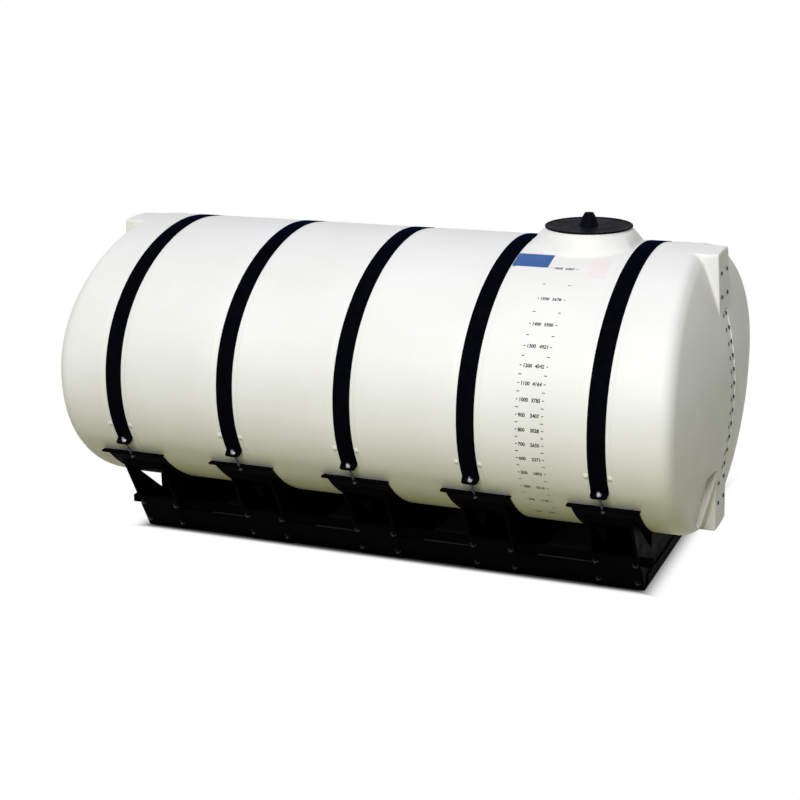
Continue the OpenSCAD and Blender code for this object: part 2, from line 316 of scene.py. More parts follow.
def end_rings():
    """Rings of the +X end as (x, y, z) arrays, from the barrel's edge inwards."""
    middle = len(MID_Y)
    low_start = middle + SIDE_COLUMNS
    halves = ((1, slice(0, middle)), (-1, slice(low_start, low_start + middle)))
    rings = []
    for i in range(1, RIM_RINGS + 1):
        step = i / RIM_RINGS
        x_rim, size = dome_rim(step)
        y, z = loop_points(size)
        x = np.full(y.shape, x_rim)
        for half, place in halves:
            keel = np.array([keel_rim(step, v, half) for v in MID_Y]).T
            x[place], z_mid = with_keel(x[place], half * z[place], keel[0], keel[1])
            z[place] = half * z_mid
        ny, nz = oval_normal(y, z)
        raised = LAND_HEIGHT * (1 - step) ** 2 * land_fade(z)
        rings.append((x, y + ny * raised, z + nz * raised))
    for size in np.linspace(RIM_FRACTION, SMALLEST_RING, DOME_RINGS + 1)[1:]:
        y, z = loop_points(size)
        x = np.full(y.shape, dome_x(size))
        for _, place in halves:
            x_keel = soft_max(keel_face_x(z[place]), x[place], KEEL_BLEND)
            x[place], _ = with_keel(x[place], z[place], x_keel, z[place])
        rings.append((x, y, z))
    return rings


def barrel_rings():
    """Rings of the barrel from -X to +X, close together at the grooves and round the neck."""
    even_rings = 64
    groove_rings = 8
    neck_rings = 26
    spare = 3 * MM
    closest = 1.5 * MM
    places = set(np.round(np.linspace(-ROUND_START, ROUND_START, even_rings), 4))
    groove = np.linspace(GROOVE_INNER - spare, GROOVE_OUTER + spare, groove_rings)
    for band, side in product(BAND_X, (-1, 1)):
        places.update(np.round(band + side * groove, 4))
    places.update(np.round(LID_X + np.linspace(-260 * MM, 240 * MM, neck_rings), 4))
    places = sorted(places)
    kept = [places[0]]
    for place in places[1:]:
        if place - kept[-1] > closest:
            kept.append(place)
    kept[-1] = ROUND_START
    rings = []
    for place in kept:
        y, z = loop_points(1.0)
        ny, nz = oval_normal(y, z)
        raised = land_height(place, z)
        rings.append((np.full(y.shape, place), y + ny * raised, z + nz * raised))
    return rings


def make_tank_shell():
    """Skin of the barrel and both ends, open under the neck."""
    ends = end_rings()
    left = [(-x, y, z) for x, y, z in reversed(ends)]
    rings = left + barrel_rings() + ends
    columns = len(rings[0][0])
    rings = [(x - np.sign(x) * lean_back(x, z), y, z) for x, y, z in rings]
    points = np.concatenate([np.stack([x, y, z + AXIS_Z], axis=1) for x, y, z in rings])
    faces = np.array(grid_faces(len(rings), columns, close_columns=True))
    centres = points[faces].mean(axis=1)
    reach = np.linalg.norm(points[faces][:, :, :2] - (LID_X, 0), axis=2).max(axis=1)
    under_neck = (reach < NECK_HOLE) & (centres[:, 2] > AXIS_Z)
    faces = faces[~under_neck]
    return mesh_object("tank_shell", points, faces[:, ::-1])


def cut_out(mesh, cuts, inside, spare):
    """Splits a skin along planes round an opening, then removes the faces inside it.

    A cut is a point and a normal. inside(face, spare) tells whether a face's middle lies in the
    opening's outline, grown by a spare width.
    """
    for point, normal in cuts:
        near = [face for face in mesh.faces if inside(face, spare)]
        parts = {part for face in near for part in (*face.edges, *face.verts)}
        bmesh.ops.bisect_plane(mesh, geom=[*near, *parts], plane_co=point, plane_no=normal, dist=1e-6)
    doomed = [face for face in mesh.faces if inside(face, 0)]
    bmesh.ops.delete(mesh, geom=doomed, context="FACES")


def open_strip(mesh, side):
    """Cuts the long recess down one end out of the skin; the strip piece lines it."""
    def inside(face, spare):
        centre = face.calc_center_median()
        return (
            centre.x * side > CREASE
            and abs(centre.y) < STRIP_HALF + spare
            and abs(centre.z - AXIS_Z) < STRIP_END + spare
        )

    cuts = [((0, way * STRIP_HALF, 0), (0, 1, 0)) for way in (1, -1)]
    cuts += [((0, 0, AXIS_Z + way * STRIP_END), (0, 0, 1)) for way in (1, -1)]
    cut_out(mesh, cuts, inside, spare=30 * MM)


def walled_steps(half, count):
    """Places from one edge of a recess to the other, with the feet of its walls just inside the edges."""
    wall = 1.2 * MM
    return [-half, *np.linspace(-half + wall, half - wall, count), half]


def make_end_strip(name, side):
    """Lining of the recess down the middle of an end: a floor with a low wall all round it."""
    across = walled_steps(STRIP_HALF, 10)
    upright = walled_steps(STRIP_END, 72)
    y, z = np.meshgrid(across, upright)
    x = dome_x(oval_fraction(y.ravel(), z.ravel())).reshape(y.shape)
    x -= lean_back(x, z)
    x[1:-1, 1:-1] -= STRIP_DEPTH
    points = np.stack([side * x.ravel(), y.ravel(), z.ravel() + AXIS_Z], axis=1)
    faces = grid_faces(len(upright), len(across))
    if side < 0:
        faces = [face[::-1] for face in faces]
    return mesh_object(name, points, faces)


# Corners of the outlet pocket beside the lower keel, as (across, height about the axis)
POCKET = [
    Vector((y * MM, z * MM))
    for y, z in ((-440, -332), (-182, -342), (-142, -365), (-243, -624), (-454, -524), (-448, -440))
]
POCKET_EDGES = list(zip(POCKET, POCKET[1:] + POCKET[:1]))
POCKET_SET_BACK = 34 * MM


def end_skin_x(y, z):
    """Place along X of the +X end's skin beside the keels."""
    size = float(oval_fraction(np.array(y), np.array(z)))
    if size < RIM_FRACTION:
        x = dome_x(size)
    else:
        x = dome_rim(math.sqrt(max(0, 1 - size) / (1 - RIM_FRACTION)))[0]
    return float(x - lean_back(x, z))


def open_pockets(mesh):
    """Cuts the outlet pocket's outline out of both ends of the skin."""
    middle = sum(POCKET, Vector((0, 0))) / len(POCKET)

    def inward(a, b):
        turn = Vector((a.y - b.y, b.x - a.x)).normalized()
        return turn if (middle - a).dot(turn) > 0 else -turn

    def inside(face, spare):
        centre = face.calc_center_median()
        if abs(centre.x) < ROUND_START - 20 * MM:
            return False
        place = Vector((centre.y, centre.z - AXIS_Z))
        return all((place - a).dot(inward(a, b)) > -spare for a, b in POCKET_EDGES)

    cuts = [((0, a.x, a.y + AXIS_Z), (0, *inward(a, b))) for a, b in POCKET_EDGES]
    cut_out(mesh, cuts, inside, spare=40 * MM)


def open_ends(shell):
    """Opens the strips and the outlet pockets in both ends of the tank's skin."""
    mesh = bmesh.new()
    mesh.from_mesh(shell.data)
    for side in (-1, 1):
        open_strip(mesh, side)
    open_pockets(mesh)
    mesh.to_mesh(shell.data)
    mesh.free()


def make_pocket(name, side):
    """Lining of an outlet pocket: a flat floor that tips inwards, and walls up to the skin."""
    steps = 14
    least_depth = 0.5 * MM
    outline = [a.lerp(b, i / steps) for a, b in POCKET_EDGES for i in range(steps)]
    top, keel_side, low = (
        Vector((end_skin_x(p.x, p.y), p.x, p.y)) for p in (POCKET[0], POCKET[2], POCKET[4])
    )
    keel_side.x -= POCKET_SET_BACK
    normal = (keel_side - top).cross(low - top)
    rim, floor = [], []
    for p in outline:
        skin = end_skin_x(p.x, p.y)
        flat = top.x - (normal.y * (p.x - top.y) + normal.z * (p.y - top.z)) / normal.x
        rim.append((side * skin, p.x, p.y + AXIS_Z))
        floor.append((side * min(flat, skin - least_depth), p.x, p.y + AXIS_Z))
    count = len(outline)
    faces = [(i, (i + 1) % count, count + (i + 1) % count, count + i) for i in range(count)]
    faces.append(tuple(count + i for i in range(count)))
    if side > 0:
        faces = [face[::-1] for face in faces]
    return mesh_object(name, rim + floor, faces, smooth=False)


# ---- Fill collar, lid and vent ----

NECK_RADIUS = 190 * MM
COLLAR_RADIUS = 208 * MM
COLLAR_SEGMENTS = 160


def tank_top(x, y):
    """Height of the tank's skin over a point near the top."""
    _, nz = oval_normal(y, oval_height(y))
    return AXIS_Z + oval_height(y) + land_height(x, oval_height(y)) / nz


def cubic(t, a, b, c, d):
    """Value at t from 0 to 1 on the curve with four control values."""
    return (1 - t) ** 3 * a + 3 * t * (1 - t) ** 2 * b + 3 * t * t * (1 - t) * c + t**3 * d


def make_fill_collar():
    """Flared neck whose foot runs out into the oval skin and stops short of the last band."""
    foot_along = 284 * MM
    foot_across = 258 * MM
    band_side = BAND_X[-1] - BAND_WIDTH / 2 - 3 * MM
    lip = 5 * MM
    chamfer = 2 * MM
    inside_bottom = AXIS_Z + 620 * MM
    rings = []
    for turn in np.linspace(0, 2 * math.pi, COLLAR_SEGMENTS, endpoint=False):
        c, s = math.cos(turn), math.sin(turn)
        foot = foot_along - (foot_along - foot_across) * s * s
        # Towards the last band, the foot ends just short of the band's edge
        if c > 0.3:
            foot = min(foot, (band_side - LID_X) / c)
        width = foot - COLLAR_RADIUS
        shoulder = NECK_TOP - 2 * lip - float(tank_top(LID_X + COLLAR_RADIUS * c, COLLAR_RADIUS * s))
        line = []
        for step in np.linspace(0, 1, 20):
            r = foot - width * cubic(step, 0, 0.3, 0.68, 1)
            ground = float(tank_top(LID_X + r * c, r * s))
            sunk = 1 * MM * (1 - step) ** 4
            line.append((r, ground - sunk + shoulder * cubic(step, 0, 0.02, 0.86, 1)))
        for degrees in (0, 30, 60, 90):
            bend = math.radians(degrees)
            line.append((COLLAR_RADIUS - lip + lip * math.cos(bend), NECK_TOP - lip + lip * math.sin(bend)))
        line += [(NECK_RADIUS + chamfer, NECK_TOP), (NECK_RADIUS, NECK_TOP - chamfer)]
        line.append((NECK_RADIUS, inside_bottom))
        rings.append([(LID_X + r * c, r * s, z) for r, z in line])
    points = [point for ring in rings for point in ring]
    return mesh_object("fill_collar_skin", points, turned_faces(COLLAR_SEGMENTS, len(rings[0])))


def lathe(name, profile, centre, segments):
    """Closed body turned about an upright axis, from the axis at the bottom to the axis at the top."""
    points = []
    for turn in np.linspace(0, 2 * math.pi, segments, endpoint=False):
        c, s = math.cos(turn), math.sin(turn)
        points += [(centre[0] + r * c, centre[1] + r * s, z) for r, z in profile[1:-1]]
    columns = len(profile) - 2
    faces = turned_faces(segments, columns)
    bottom = len(points)
    points += [(*centre, profile[0][1]), (*centre, profile[-1][1])]
    for i in range(segments):
        j = (i + 1) % segments
        faces.append((j * columns, i * columns, bottom))
        faces.append((i * columns + columns - 1, j * columns + columns - 1, bottom + 1))
    return mesh_object(name, points, faces)


def make_lid():
    """Thin disc with a rounded rim, a shallow step and a short skirt inside the neck."""
    seat = NECK_TOP + 0.5 * MM
    underside = seat + 2 * MM
    skirt = NECK_RADIUS - 8 * MM
    skirt_inner = skirt - 6 * MM
    profile = [(0, underside), (skirt_inner, underside), (skirt_inner, lid_low.z), (skirt, lid_low.z)]
    profile += [(skirt, seat), (LID_RADIUS - 2 * MM, seat), (LID_RADIUS, underside)]
    # Inset from the lid's edge and depth below its top, in mm
    upper_side = [
        (0, 3.4), (0.8, 1.6), (2.8, 0.5), (6, 0.2), (20, 0.2), (22, 1.6), (25, 1.8), (60, 1.2), (120, 0.4),
    ]
    profile += [(LID_RADIUS - inset * MM, LID_TOP - down * MM) for inset, down in upper_side]
    profile += [(54 * MM, LID_TOP - 0.2 * MM), (0, LID_TOP - 0.2 * MM)]
    return lathe("lid_disc", profile, (LID_X, 0), segments=192)


def make_vent():
    """Blunt cone of the vent on the lid."""
    base = LID_TOP - 1 * MM
    height = VENT_TOP - base
    # Radius in mm and share of the height
    shape = [
        (48.0, 0.0), (47.6, 0.04), (46.0, 0.08), (43.0, 0.16), (40.0, 0.3), (36.6, 0.5), (31.0, 0.7),
        (26.2, 0.84), (23.9, 0.9), (22.4, 0.96), (20.4, 0.99), (17.0, 1.0),
    ]
    profile = [(0, base)] + [(r * MM, base + share * height) for r, share in shape] + [(0, base + height)]
    return lathe("lid_vent_cap", profile, (LID_X, 0), segments=72)


# ---- Bands ----

BAND_END_DROP = 292 * MM
ROD_TOP = Vector((0, HALF_W - 59 * MM, AXIS_Z - BAND_END_DROP))
ROD_FOOT = Vector((0, HALF_W - 117 * MM, FLANGE_Z))
ROD_AXIS = (ROD_TOP - ROD_FOOT).normalized()
TAB_OUT = Vector((0, ROD_AXIS.z, -ROD_AXIS.y))
TAB_THICKNESS = 4 * MM
TAB_REACH = 23 * MM
BAND_THICKNESS = 3 * MM
BAND_GAP = 0.5 * MM
CORNER_ROUND = 20 * MM


def off_oval(angle, offset):
    """Point lifted off the plain oval at an angle, and the direction out of it."""
    y, z = (float(v) for v in oval_point(angle))
    ny, nz = (float(v) for v in oval_normal(y, z))
    return Vector((0, y + ny * offset, z + nz * offset + AXIS_Z)), Vector((0, ny, nz))


def leaving_angle(offset, bend):
    """Angle on the oval at which a band leaves the tank and bends out into its tab."""
    tab_middle = ROD_TOP - ROD_AXIS * (TAB_THICKNESS / 2)
    halvings = 40
    low, high = -0.6, 0.0
    for _ in range(halvings):
        angle = (low + high) / 2
        above = (off_oval(angle, offset)[0] - tab_middle).dot(ROD_AXIS)
        low, high = (low, angle) if above > bend else (angle, high)
    return angle


def band_line():
    """Middle line of a band in (y, z), from the near tab over the top to the far one, with its normals."""
    offset = BAND_GAP + BAND_THICKNESS / 2
    bend = 9 * MM
    line = [off_oval(turn, offset) for turn in np.linspace(math.pi / 2, leaving_angle(offset, bend), 110)]
    end, normal = line[-1]
    along = Vector((0, normal.z, -normal.y))
    centre = end + normal * bend
    final = math.acos(max(-1, min(1, along.dot(TAB_OUT))))
    for turn in np.linspace(0, final, 8)[1:]:
        radius = -normal * math.cos(turn) + along * math.sin(turn)
        line.append((centre + radius * bend, -radius))
    tip, face = line[-1]
    reach = (ROD_TOP + TAB_OUT * TAB_REACH - tip).dot(TAB_OUT)
    for short in (10, 5, 2.5, 1, 0.3, 0):
        line.append((tip + TAB_OUT * (reach - short * MM), face))
    mirrored = [(Vector((0, -p.y, p.z)), Vector((0, -n.y, n.z))) for p, n in line[:0:-1]]
    return mirrored + line


def make_band(name, x, line):
    """Flat strap swept along its line, with rounded edges, closed ends and rounded corners."""
    half = BAND_WIDTH / 2
    thick = BAND_THICKNESS / 2
    edge = 1.2 * MM
    section = []
    for corner_x, corner_z, start in ((1, 1, 0), (-1, 1, 90), (-1, -1, 180), (1, -1, 270)):
        for degrees in (0, 45, 90):
            turn = math.radians(start + degrees)
            section.append(
                (corner_x * (half - edge) + edge * math.cos(turn),
                 corner_z * (thick - edge) + edge * math.sin(turn))
            )
    points = []
    for p, n in line:
        left = min((p - line[0][0]).length, (p - line[-1][0]).length)
        missing = max(0.0, CORNER_ROUND - left)
        narrow = 1 - (CORNER_ROUND - math.sqrt(CORNER_ROUND**2 - missing**2)) / half
        points += [(x + u * narrow, p.y + n.y * v, p.z + n.z * v) for u, v in section]
    faces = grid_faces(len(line), len(section), close_columns=True)
    last = (len(line) - 1) * len(section)
    faces.append(tuple(range(len(section))))
    faces.append(tuple(last + k for k in reversed(range(len(section)))))
    return mesh_object(name, points, faces)


# ---- Bolts ----

SIDE_LEAN = 0.5245
FOOT_HALF = 445 * MM
BOLT_SPREAD = 97 * MM
BOLT_HEIGHTS = (47 * MM, 160 * MM)


def hex_bolt(centre, axis, across, radius, height, washer):
    """Points and faces of a washer with a hexagon head on it; axis points out of the head.

    Radius is the head's, washer is the washer's radius, and height is that of both together.
    """
    other = axis.cross(across)
    points, faces = [], []

    def ring(count, r, h, turn=0.0):
        start = len(points)
        for i in range(count):
            a = 2 * math.pi * i / count + turn
            points.append(centre + axis * h + across * (r * math.cos(a)) + other * (r * math.sin(a)))
        return start

    def stack(count, rows, turn=0.0):
        starts = [ring(count, r, h, turn) for r, h in rows]
        for a, b in zip(starts, starts[1:]):
            for i in range(count):
                j = (i + 1) % count
                faces.append((a + i, a + j, b + j, b + i))
        faces.append(tuple(starts[-1] + i for i in range(count)))

    washer_top = 2.2 * MM
    stack(20, [(washer, 0.0), (washer, 1.6 * MM), (washer - 0.8 * MM, washer_top)])
    stack(6, [(radius, washer_top), (radius, height - 1.5 * MM), (radius - 1.4 * MM, height)], turn=0.4)
    return points, faces


def make_bolts(name, side):
    """Bolts that hold the slanted sides of the saddles to the rail and the stringer, on one side."""
    lean = math.atan(SIDE_LEAN)
    out = Vector((0, side * math.cos(lean), -math.sin(lean)))
    points, faces = [], []
    for band, way, z in product(BAND_X, (-1, 1), BOLT_HEIGHTS):
        centre = Vector((band + way * BOLT_SPREAD, side * (FOOT_HALF + SIDE_LEAN * z), z))
        new_points, new_faces = hex_bolt(
            centre, out, across=Vector((1, 0, 0)), radius=11 * MM, height=11 * MM, washer=15 * MM
        )
        faces += [tuple(len(points) + k for k in face) for face in new_faces]
        points += new_points
    return mesh_object(name, points, faces, smooth=False)


# ---- What lies on the skin: groove ends, scale, blank plates and the painted shade of the holes in the ends ----

RAMP_INNER = 44 * MM
RAMP_OUTER = 68 * MM
RAMP_TOP = -184 * MM
RAMP_HEIGHT = 38 * MM
RAMP_RISE = 6 * MM
RAMP_CREST = 0.4


def skin_point(x, z, lift):
    """Point lifted off the near side's skin at a height about the axis."""
    y = -HALF_W * (1 - (abs(z) / HALF_H) ** UPRIGHT_POWER) ** (1 / ACROSS_POWER)
    ny, nz = (float(v) for v in oval_normal(y, z))
    out = lift + float(land_height(x, z))
    return Vector((x, y + ny * out, AXIS_Z + z + nz * out))


def ramp_lift(across, down):
    """How far a ramp stands off the skin at a share of its width and of its height from the top."""
    sunk_edge = 0.4 * MM
    bulge = math.sin(math.pi * across) ** 0.5
    slope = min(1, down / RAMP_CREST) * (1 - smooth_step(down, RAMP_CREST, 1))
    return RAMP_RISE * bulge * slope - sunk_edge


def make_groove_ends(name):
    """Small moulded ramps that close the bands' grooves, beside each band on both sides of the tank."""
    rows = np.linspace(0, 1, 13)
    columns = np.linspace(0, 1, 9)
    points, faces = [], []
    for band, way, flip in product(BAND_X, (-1, 1), (-1, 1)):
        patch = grid_faces(len(rows), len(columns), start=len(points))
        faces += patch if way * flip > 0 else [face[::-1] for face in patch]
        for down, across in product(rows, columns):
            x = band + way * (RAMP_INNER + (RAMP_OUTER - RAMP_INNER) * across)
            place = skin_point(x, RAMP_TOP - RAMP_HEIGHT * down, ramp_lift(across, down))
            points.append((place.x, flip * place.y, place.z))
    return mesh_object(name, points, faces)


def near_arc():
    """Heights down the near side and the length of the oval to each, from the top."""
    angle = np.linspace(math.pi / 2, -math.pi / 2, 4001)
    y, z = oval_point(angle)
    length = np.concatenate([[0], np.cumsum(np.hypot(np.diff(y), np.diff(z)))])
    return z, length


ARC_Z, ARC_LENGTH = near_arc()


def height_at(length):
    """Height about the axis at a length down the near side from the top."""
    return float(np.interp(length, ARC_LENGTH, ARC_Z))


def length_at(z):
    """Length down the near side from the top to a height about the axis."""
    return float(np.interp(-z, -ARC_Z, ARC_LENGTH))


def wrap_on_skin(points, x, z, lift):
    """Lays flat points (right, up) on the near side's skin about a place."""
    middle = length_at(z)
    return [skin_point(x + u, height_at(middle - v), lift) for u, v in points]


TOP_ROW = 1600
BOTTOM_ROW = 150
ROW_STEP = 50
NUMBERED_STEP = 100
LITRES_PER_GALLON = 3.785412
SCALE_LEFT = 853 * MM
SCALE_RIGHT = 987 * MM
DIGIT_SIZE = 24 * MM
DIGIT_SQUEEZE = 0.9
TICK_HALF = 1.9 * MM
SHORT_TICK = 10 * MM
LONG_TICK = 14 * MM
GALLONS_INSET = 15 * MM
LITRES_INSET = 19 * MM


def row_height(gallons):
    """Height about the axis of a row of the scale: a cubic in its share of the top row's volume."""
    share = gallons / TOP_ROW
    return HALF_H * (1.371 * share**3 - 2.292 * share**2 + 2.853 * share - 1.023)


def text_shape(text, size):
    """Flat points and faces of a number with slightly bold strokes, starting at the origin."""
    curve = bpy.data.curves.new("digits", "FONT")
    curve.body = text
    curve.size = size
    curve.resolution_u = 3
    curve.offset = 0.035 * size
    holder = bpy.data.objects.new("digits", curve)
    bpy.context.scene.collection.objects.link(holder)
    mesh = bpy.data.meshes.new_from_object(holder)
    points = [(v.co.x, v.co.y) for v in mesh.vertices]
    faces = [tuple(p.vertices) for p in mesh.polygons]
    bpy.data.objects.remove(holder)
    bpy.data.curves.remove(curve)
    bpy.data.meshes.remove(mesh)
    return points, faces


def make_scale():
    """Volume scale: rows of gallons and litres between two columns of ticks."""
    lift = 0.4 * MM
    base = 0.36 * DIGIT_SIZE
    points, faces = [], []

    def add(shape_points, shape_faces, x, z):
        start = len(points)
        points.extend(wrap_on_skin(shape_points, x, z, lift))
        faces.extend(tuple(start + k for k in face) for face in shape_faces)

    def ticks(z, length):
        corners = [(0, -TICK_HALF), (length, -TICK_HALF), (length, TICK_HALF), (0, TICK_HALF)]
        for x in (SCALE_LEFT, SCALE_RIGHT - length):
            add(corners, [(0, 1, 2, 3)], x, z)

    def number(value, x, z, from_right):
        shape, shape_faces = text_shape(str(value), DIGIT_SIZE)
        width = max(u for u, v in shape) * DIGIT_SQUEEZE
        shape = [(u * DIGIT_SQUEEZE, v - base) for u, v in shape]
        add(shape, shape_faces, x - (width if from_right else 0), z)

    for gallons in range(BOTTOM_ROW, TOP_ROW + 1, ROW_STEP):
        z = row_height(gallons)
        if gallons % NUMBERED_STEP:
            ticks(z, LONG_TICK)
        else:
            ticks(z, SHORT_TICK)
            number(gallons, SCALE_LEFT + GALLONS_INSET, z, from_right=False)
            number(round(gallons * LITRES_PER_GALLON), SCALE_RIGHT - LITRES_INSET, z, from_right=True)
    return mesh_object("volume_scale", points, faces, smooth=False)


def make_plate(name, x, top, width, height, slant=0.0):
    """Thin blank plate with rounded corners, flat along the tank, on the raised skin of the near side.

    Its top left corner is at x and a height about the axis; its foot is moved along by the slant.
    """
    lift = 0.5 * MM
    corner = 1.5 * MM
    rows = np.linspace(0, 1, 40)
    columns = np.linspace(0, 1, 12)
    top_length = length_at(top)
    middle = x + width / 2
    points = []
    for v in rows:
        edge = min(v, 1 - v) * height
        tuck = max(0.0, corner - edge)
        inset = corner - math.sqrt(max(0, corner**2 - tuck**2))
        place = skin_point(middle, height_at(top_length + v * height), lift)
        for u in columns:
            points.append((x + slant * v + inset + (width - 2 * inset) * u, place.y, place.z))
    return mesh_object(name, points, grid_faces(len(rows), len(columns)))


def end_x(y, z):
    """Place along X of the +X end's skin in its middle strip and on its keels."""
    x = float(dome_x(float(oval_fraction(np.array(y), np.array(z)))))
    if abs(z) > STRIP_END:
        x = float(soft_max(keel_face_x(z), x, KEEL_BLEND))
    else:
        x -= STRIP_DEPTH
    return x - float(lean_back(x, z))


def end_point(y, z, side):
    """Point on an end's strip or keel, and the direction out of it."""
    step = 2 * MM
    slope_y = (end_x(y + step, z) - end_x(y - step, z)) / (2 * step)
    slope_z = (end_x(y, z + step) - end_x(y, z - step)) / (2 * step)
    out = Vector((side, -slope_y, -slope_z)).normalized()
    return Vector((side * end_x(y, z), y, z + AXIS_Z)), out


def make_plugs(name, side):
    """Raised dark discs that paint the shade inside the end's round holes: two pairs on each keel, and a
    row of pairs down the strip.
    """
    strip_reach = 374 * MM
    places = [(58 * MM, z * MM) for z in (583, 470, -450, -551)]
    places += [(31 * MM, z) for z in np.linspace(strip_reach, -strip_reach, 12)]
    profile = [(r * MM, h * MM) for r, h in ((9.6, -0.5), (9.6, 3.4), (9.2, 4.2), (8.2, 4.7))]
    count = 16
    points, faces = [], []
    for (half, z), way in product(places, (-1, 1)):
        centre, out = end_point(way * half, z, side)
        across = Vector((0, 1, 0))
        across = (across - out * across.dot(out)).normalized()
        other = out.cross(across)
        faces += grid_faces(len(profile), count, close_columns=True, start=len(points))
        for r, h in profile:
            for i in range(count):
                turn = 2 * math.pi * i / count
                points.append(centre + (across * math.cos(turn) + other * math.sin(turn)) * r + out * h)
        faces.append(tuple(range(len(points) - count, len(points))))
    return mesh_object(name, points, faces, smooth=False)


# ---- Materials ----


class Nodes:
    """Short way to add nodes to a tree and link them."""

    def __init__(self, tree):
        self.tree = tree

    def set(self, node, key, value):
        """Links a socket to a node's input, or writes a plain value there."""
        if isinstance(value, bpy.types.NodeSocket):
            self.tree.links.new(value, node.inputs[key])
        else:
            node.inputs[key].default_value = value

    def add(self, kind, inputs=None, **settings):
        """New node with its settings, and its inputs by name or number."""
        node = self.tree.nodes.new(kind)
        for key, value in settings.items():
            setattr(node, key, value)
        for key, value in (inputs or {}).items():
            self.set(node, key, value)
        return node

    def math(self, operation, *values):
        """Result of one arithmetic step on one or two values."""
        return self.add("ShaderNodeMath", dict(enumerate(values)), operation=operation).outputs[0]

    def split(self, vector):
        """Outputs X, Y and Z of a vector."""
        return self.add("ShaderNodeSeparateXYZ", {"Vector": vector}).outputs

    def span(self, value, low, high, start=0.0, end=1.0, **settings):
        """Value carried from one range to another and held within it."""
        inputs = {"Value": value, "From Min": low, "From Max": high, "To Min": start, "To Max": end}
        return self.add("ShaderNodeMapRange", inputs, **settings).outputs["Result"]

    def mix(self, share, a, b):
        """Colour between two others."""
        node = self.add("ShaderNodeMix", data_type="RGBA")
        for key, value in ((0, share), (6, a), (7, b)):
            self.set(node, key, value)
        return node.outputs[2]

    def shader(self, kind, inputs):
        """Result of a shader node."""
        return self.add(kind, inputs).outputs[0]


class Look(Nodes):
    """Nodes of one material round its main shader."""

    def __init__(self, name):
        self.material = bpy.data.materials.new(name)
        self.material.use_nodes = True
        super().__init__(self.material.node_tree)
        self.main = self.tree.nodes["Principled BSDF"]
        self.place = self.add("ShaderNodeTexCoord").outputs["Object"]

    def noise(self, scale, detail=4.0):
        """Cloudy noise fixed to the piece."""
        inputs = {"Scale": scale, "Detail": detail, "Roughness": 0.55, "Vector": self.place}
        return self.add("ShaderNodeTexNoise", inputs).outputs["Fac"]

    def bump(self, height, strength, distance, normal=None):
        """Normal tilted by a height, on top of another normal if one is given."""
        inputs = {"Height": height, "Strength": strength, "Distance": distance}
        if normal is not None:
            inputs["Normal"] = normal
        return self.add("ShaderNodeBump", inputs).outputs["Normal"]

    def finish(self, **inputs):
        """Fills the main shader's inputs and returns the material."""
        for key, value in inputs.items():
            self.set(self.main, key.replace("_", " "), value)
        return self.material


def polyethylene():
    """Natural moulded polyethylene: off-white, faintly cloudy, waxy, with a very shallow orange peel."""
    n = Look("natural_polyethylene")
    cloud = n.noise(2.2, detail=3.0)
    speck = n.noise(60.0, detail=2.0)
    colour = n.mix(n.span(cloud, 0.35, 0.65), (0.80, 0.80, 0.765, 1), (0.84, 0.84, 0.82, 1))
    colour = n.mix(n.span(speck, 0.35, 0.7, 0.0, 0.06), colour, (0.70, 0.70, 0.66, 1))
    rough = n.span(n.noise(7.0), 0.3, 0.7, 0.42, 0.52)
    waves = n.bump(n.noise(5.0, detail=1.0), 0.10, 0.004)
    peel = n.bump(n.noise(180.0, detail=3.0), 0.08, 0.0006, waves)
    return n.finish(Base_Color=colour, Roughness=rough, Normal=peel, Specular_IOR_Level=0.3)


def black_plastic():
    """Black moulded lid: fine leathery grain and a dull sheen."""
    n = Look("black_moulded_plastic")
    colour = n.mix(n.span(n.noise(30.0), 0.3, 0.7), (0.002, 0.0024, 0.004, 1), (0.004, 0.0048, 0.0075, 1))
    rough = n.span(n.noise(14.0), 0.3, 0.7, 0.42, 0.6)
    grain = n.bump(n.noise(420.0, detail=2.0), 0.2, 0.0005)
    return n.finish(Base_Color=colour, Roughness=rough, Normal=grain, Specular_IOR_Level=0.01)


def band_coat():
    """Black coated strap with a fine grain and a blue sheen."""
    n = Look("black_band_coat")
    colour = n.mix(n.span(n.noise(24.0), 0.3, 0.7), (0.0012, 0.0015, 0.0028, 1), (0.0024, 0.003, 0.005, 1))
    rough = n.span(n.noise(40.0), 0.3, 0.7, 0.38, 0.55)
    grain = n.bump(n.noise(300.0, detail=2.0), 0.15, 0.0004)
    return n.finish(
        Base_Color=colour, Roughness=rough, Normal=grain, Specular_IOR_Level=0.0,
        Sheen_Weight=0.7, Sheen_Roughness=0.3, Sheen_Tint=(0.002, 0.016, 0.1, 1.0),
    )


def skid_paint():
    """Black paint over welded plate: slight orange peel, worn dull in patches, dusty where it faces up."""
    n = Look("black_skid_paint")
    colour = n.mix(n.span(n.noise(9.0), 0.35, 0.7), (0.0007, 0.0007, 0.001, 1), (0.0015, 0.0015, 0.002, 1))
    facing_up = n.split(n.add("ShaderNodeNewGeometry").outputs["Normal"])["Z"]
    dust = n.math("MULTIPLY", n.span(facing_up, 0.5, 1.0), n.span(n.noise(35.0), 0.4, 0.7))
    colour = n.mix(n.math("MULTIPLY", dust, 0.04), colour, (0.05, 0.05, 0.048, 1))
    rough = n.span(n.noise(18.0), 0.3, 0.7, 0.4, 0.62)
    peel = n.bump(n.noise(150.0, detail=2.0), 0.2, 0.0008)
    return n.finish(Base_Color=colour, Roughness=rough, Normal=peel, Specular_IOR_Level=0.004)


def thread_wave(n, split):
    """Wave that runs along the tie rods' axes, one crest a pitch."""
    pitch = 1.75 * MM
    across = n.math("MULTIPLY", n.math("ABSOLUTE", split["Y"]), ROD_AXIS.y)
    along = n.math("ADD", across, n.math("MULTIPLY", split["Z"], ROD_AXIS.z))
    return n.math("SINE", n.math("MULTIPLY", along, 2 * math.pi / pitch))


